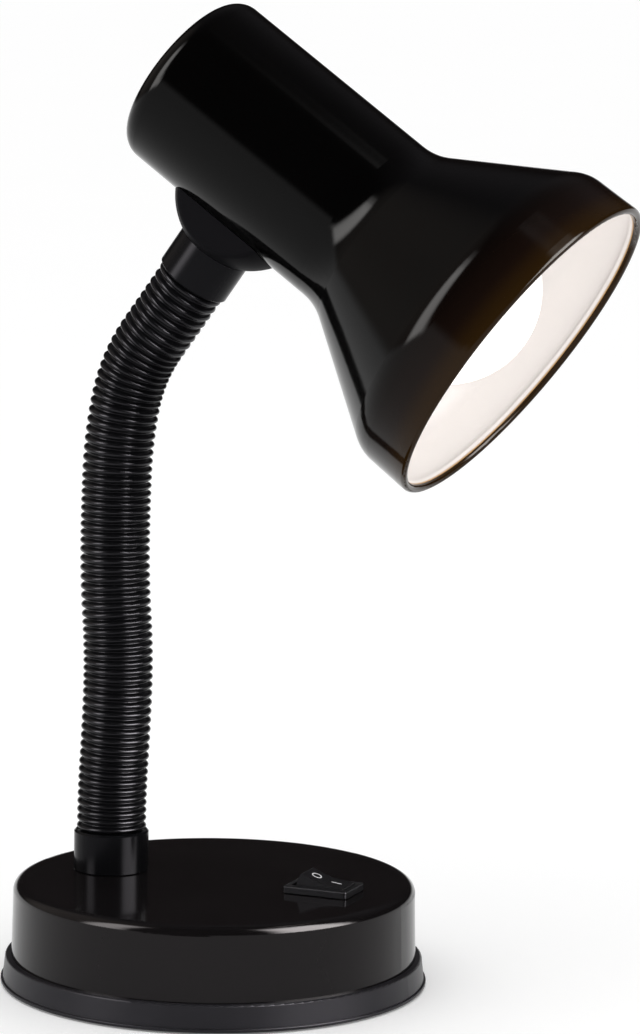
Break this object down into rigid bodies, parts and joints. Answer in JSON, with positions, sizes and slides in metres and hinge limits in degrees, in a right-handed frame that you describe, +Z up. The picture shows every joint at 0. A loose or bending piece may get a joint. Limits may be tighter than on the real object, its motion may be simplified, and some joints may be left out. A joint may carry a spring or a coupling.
{
  "type": "table lamp",
  "caption": "Black table lamp: round weighted base with rocker switch, ribbed flexible neck, and a turning stepped cylindrical shade with flared front over a screw bulb.",
  "frame": {"origin": "centre of the face that the lamp stands on", "axes": "+Z up, +X the way the shade aims, +Y to the left of that; the neck bends in the plane Y = 0"},
  "size_m": [0.2065, 0.14, 0.3194],
  "materials": {
    "lacquer": "gloss black lacquer",
    "satin_plastic": "satin black",
    "sleeve": "satin black ribbed",
    "rubber": "matt black",
    "steel": "zinc plated",
    "cast_weight": "as cast",
    "brass": "plain",
    "switch_plastic": "fine satin",
    "pale_plastic": "matt",
    "lead": "matt insulation",
    "holder_plastic": "moulded",
    "bulb_glass": "frosted, lit",
    "bulb_cap": "plain",
    "bulb_insulator": "glazed black"
  },
  "bodies": {
    "base": {"foot_pad": "rubber", "foot_ring": "satin_plastic", "base_plate": "steel", "ballast_weight": "cast_weight", "base_screws": "steel", "base_cover": "lacquer", "cord_gland": "rubber", "terminal_block": "pale_plastic", "terminal_inserts": "brass", "terminal_screws": "brass", "base_leads": "lead", "switch_housing": "switch_plastic", "switch_terminals": "brass", "lower_collar": "satin_plastic", "neck_nipple": "steel", "nipple_washer": "steel", "nipple_nut": "steel", "neck_lead": "lead", "neck_link_0": "steel"},
    "rocker": {"switch_rocker": "switch_plastic", "rocker_contact": "brass"},
    "neck_1": {"neck_link_1": "steel", "neck_sleeve_1": "sleeve"},
    "neck_2": {"neck_link_2": "steel", "neck_sleeve_2": "sleeve"},
    "neck_3": {"neck_link_3": "steel", "neck_sleeve_3": "sleeve"},
    "neck_4": {"neck_link_4": "steel", "neck_sleeve_4": "sleeve"},
    "neck_5": {"neck_link_5": "steel", "neck_sleeve_5": "sleeve"},
    "neck_6": {"neck_link_6": "steel", "neck_sleeve_6": "sleeve"},
    "neck_7": {"neck_link_7": "steel", "neck_sleeve_7": "sleeve"},
    "neck_8": {"neck_link_8": "steel", "neck_sleeve_8": "sleeve", "upper_collar": "satin_plastic"},
    "head": {"swivel_bolt": "steel", "swivel_washer": "steel", "swivel_nut": "steel", "swivel_saddle": "satin_plastic", "shade": "lacquer", "holder_bracket": "steel", "holder_nipple": "steel", "holder_nut": "steel", "holder_cap": "holder_plastic", "holder_body": "holder_plastic", "holder_shell": "brass", "holder_contact": "brass", "bulb_glass": "bulb_glass", "bulb_cap": "bulb_cap", "bulb_insulator": "bulb_insulator", "bulb_contact": "brass", "head_leads": "lead"}
  },
  "joints": [
    {"name": "neck_pitch_1", "type": "hinge", "parent": "base", "child": "neck_1", "pos_m": [-0.0376, 0, 0.05894], "axis": [0, 1, 0], "range_deg": [-24, 14], "deforming": ["neck_sleeve_1", "neck_lead"]},
    {"name": "neck_sway_2", "type": "hinge", "parent": "neck_1", "child": "neck_2", "pos_m": [-0.0361, 0, 0.08276], "axis": [0.9989, 0, -0.0462], "range_deg": [-20, 20], "deforming": ["neck_sleeve_2", "neck_lead"]},
    {"name": "neck_pitch_3", "type": "hinge", "parent": "neck_2", "child": "neck_3", "pos_m": [-0.03539, 0, 0.10662], "axis": [0, 1, 0], "range_deg": [-24, 14], "deforming": ["neck_sleeve_3", "neck_lead"]},
    {"name": "neck_sway_4", "type": "hinge", "parent": "neck_3", "child": "neck_4", "pos_m": [-0.03714, 0, 0.13042], "axis": [0.9994, 0, 0.0349], "range_deg": [-20, 20], "deforming": ["neck_sleeve_4", "neck_lead"]},
    {"name": "neck_pitch_5", "type": "hinge", "parent": "neck_4", "child": "neck_5", "pos_m": [-0.03706, 0, 0.15429], "axis": [0, 1, 0], "range_deg": [-24, 14], "deforming": ["neck_sleeve_5", "neck_lead"]},
    {"name": "neck_sway_6", "type": "hinge", "parent": "neck_5", "child": "neck_6", "pos_m": [-0.03612, 0, 0.17814], "axis": [0.9923, 0, -0.124], "range_deg": [-20, 20], "deforming": ["neck_sleeve_6", "neck_lead"]},
    {"name": "neck_pitch_7", "type": "hinge", "parent": "neck_6", "child": "neck_7", "pos_m": [-0.03116, 0, 0.20149], "axis": [0, 1, 0], "range_deg": [-24, 14], "deforming": ["neck_sleeve_7", "neck_lead"]},
    {"name": "neck_sway_8", "type": "hinge", "parent": "neck_7", "child": "neck_8", "pos_m": [-0.01703, 0, 0.22073], "axis": [0.81, 0, -0.5864], "range_deg": [-20, 20], "deforming": ["neck_sleeve_8", "neck_lead"]},
    {"name": "head_swivel", "type": "hinge", "parent": "neck_8", "child": "head", "pos_m": [-0.0101, 0, 0.23045], "axis": [0.5807, 0, 0.8141], "range_deg": [-160, 160]},
    {"name": "switch_rock", "type": "hinge", "parent": "base", "child": "rocker", "pos_m": [0.0388, 0, 0.0327], "axis": [0, -1, 0], "range_deg": [0, 28]}
  ]
}
